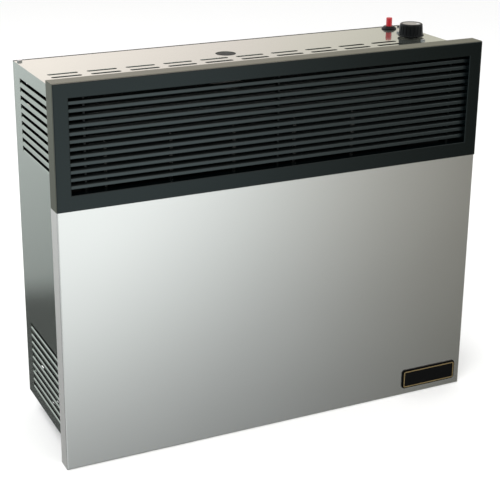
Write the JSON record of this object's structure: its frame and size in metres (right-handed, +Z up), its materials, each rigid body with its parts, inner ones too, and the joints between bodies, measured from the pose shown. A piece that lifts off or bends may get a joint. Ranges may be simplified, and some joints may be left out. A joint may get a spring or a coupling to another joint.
{
  "type": "direct vent gas heater",
  "caption": "Wall-hung direct vent gas heater: flat silver front below a wide louvred grille, louvred sides, slotted top with knob and red igniter button, twin vent at the back.",
  "frame": {"origin": "on the wall face of the back panel, midway between the four wall screws", "axes": "+Z up, +Y into the wall, +X to the right as seen from the room"},
  "size_m": [0.7, 0.2568, 0.6004],
  "materials": {
    "silver_enamel": "gloss",
    "sage_enamel": "gloss",
    "galvanised_sheet": "satin",
    "grille_enamel": "satin",
    "badge_black": "gloss",
    "chamber_steel": "matt",
    "vent_aluminium": "satin",
    "gasket_fibre": "matt",
    "sight_glass": "gloss",
    "burner_steel": "satin",
    "fitting_brass": "satin",
    "pipe_aluminium": "satin",
    "pipe_steel": "matt",
    "copper": "satin",
    "electrode_ceramic": "gloss",
    "lead_sleeve": "satin",
    "valve_casting": "satin",
    "black_plastic": "satin",
    "button_red": "gloss",
    "knob_silver": "satin",
    "screw_zinc": "gloss"
  },
  "bodies": {
    "heater": {"front_panel": "silver_enamel", "left_side_panel": "sage_enamel", "right_side_panel": "sage_enamel", "top_panel": "sage_enamel", "back_panel": "galvanised_sheet", "bottom_panel": "galvanised_sheet", "panel_clips": "galvanised_sheet", "control_partition": "galvanised_sheet", "valve_bracket": "galvanised_sheet", "chamber_feet": "galvanised_sheet", "grille_frame": "grille_enamel", "grille_comb_left": "grille_enamel", "grille_comb_centre": "grille_enamel", "grille_comb_right": "grille_enamel", "grille_slat_01": "grille_enamel", "grille_slat_02": "grille_enamel", "grille_slat_03": "grille_enamel", "grille_slat_04": "grille_enamel", "grille_slat_05": "grille_enamel", "grille_slat_06": "grille_enamel", "grille_slat_07": "grille_enamel", "grille_slat_08": "grille_enamel", "grille_slat_09": "grille_enamel", "grille_slat_10": "grille_enamel", "grille_slat_11": "grille_enamel", "grille_slat_12": "grille_enamel", "badge_backing": "badge_black", "badge_plate": "badge_black", "chamber_body": "chamber_steel", "chamber_front": "chamber_steel", "air_drop": "chamber_steel", "air_collar": "vent_aluminium", "flue_collar": "vent_aluminium", "collar_gasket": "gasket_fibre", "sight_glass": "sight_glass", "sight_tube": "burner_steel", "burner_tube": "burner_steel", "burner_saddles": "burner_steel", "burner_plate": "burner_steel", "pilot_bracket": "burner_steel", "bulb_clips": "burner_steel", "orifice_holder": "fitting_brass", "pilot_burner": "fitting_brass", "inlet_fitting": "fitting_brass", "burner_feed_pipe": "pipe_aluminium", "pilot_tube": "pipe_aluminium", "inlet_pipe": "pipe_steel", "thermocouple": "copper", "thermostat_sensor": "copper", "spark_electrode": "electrode_ceramic", "igniter_lead": "lead_sleeve", "gas_valve": "valve_casting", "igniter_body": "black_plastic", "igniter_nut": "black_plastic", "casing_screws": "screw_zinc"},
    "igniter_button": {"igniter_button": "button_red"},
    "valve_plunger": {"valve_plunger": "fitting_brass"},
    "knob": {"control_knob": "black_plastic", "knob_cap": "knob_silver", "valve_spindle": "fitting_brass"}
  },
  "joints": [
    {"name": "igniter_press", "type": "slide", "parent": "heater", "child": "igniter_button", "axis": [0, 0, -1], "range_m": [0, 0.007], "stiffness_N_per_m": 600, "springref_m": -0.002},
    {"name": "knob_push", "type": "slide", "parent": "heater", "child": "valve_plunger", "axis": [0, 0, -1], "range_m": [0, 0.002], "stiffness_N_per_m": 1500, "springref_m": -0.002},
    {"name": "knob_turn", "type": "hinge", "parent": "valve_plunger", "child": "knob", "pos_m": [0.303, -0.095, 0.275], "axis": [0, 0, 1], "range_deg": [0, 270]}
  ]
}
